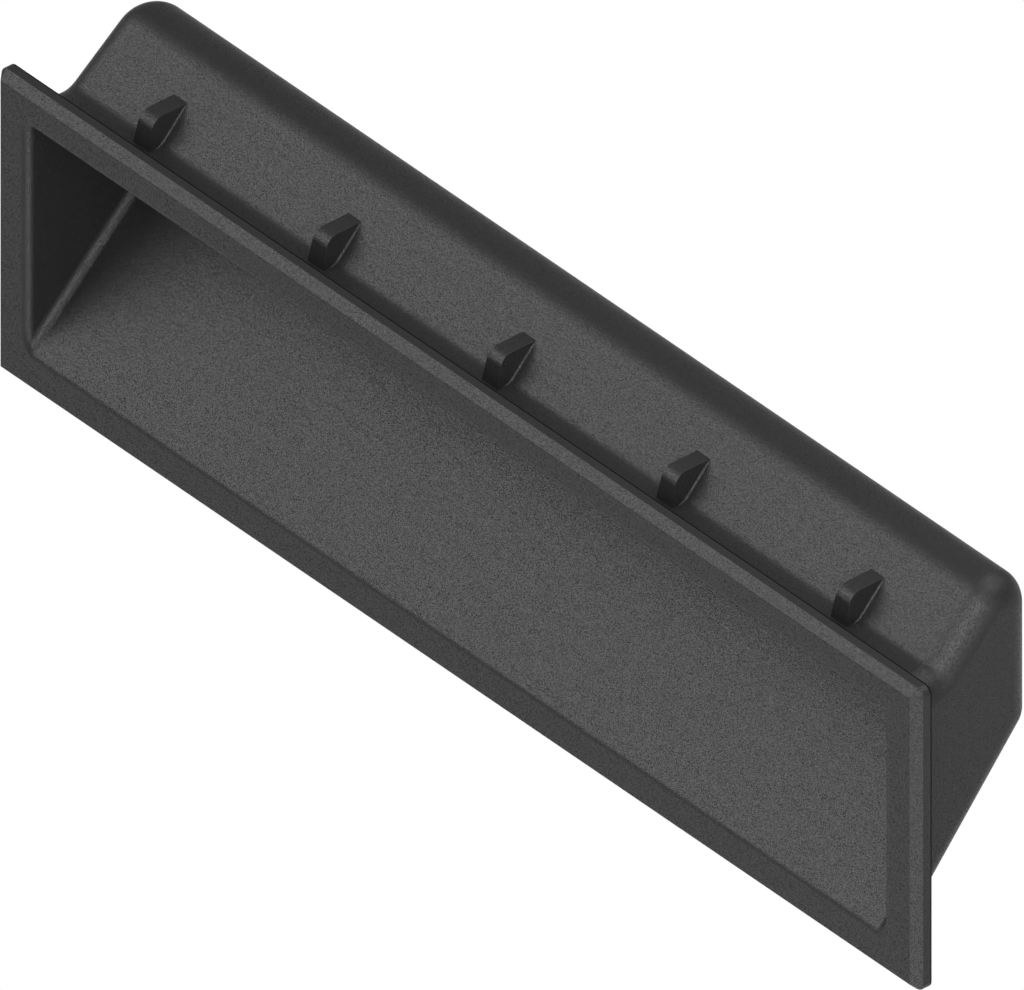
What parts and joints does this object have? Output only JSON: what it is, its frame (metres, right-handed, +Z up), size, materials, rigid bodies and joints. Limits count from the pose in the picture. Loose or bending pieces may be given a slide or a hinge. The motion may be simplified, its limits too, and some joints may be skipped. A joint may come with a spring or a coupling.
{
  "type": "recessed pull handle",
  "caption": "Recessed pull handle moulded in one piece, which hooks and snaps into a rectangular cut-out in a sheet-metal or wood panel.",
  "frame": {"origin": "centre of the panel's cut-out, in the plane of the panel's front face, which the flange's back face lies on", "axes": "+X along the handle, to the right as seen from the front, +Y into the panel, +Z up"},
  "size_m": [0.205, 0.0276, 0.0596],
  "materials": {
    "handle_plastic": "dark grey moulded plastic with a fine spark-eroded grain"
  },
  "bodies": {
    "root": {"pull_handle": "handle_plastic"}
  },
  "joints": []
}
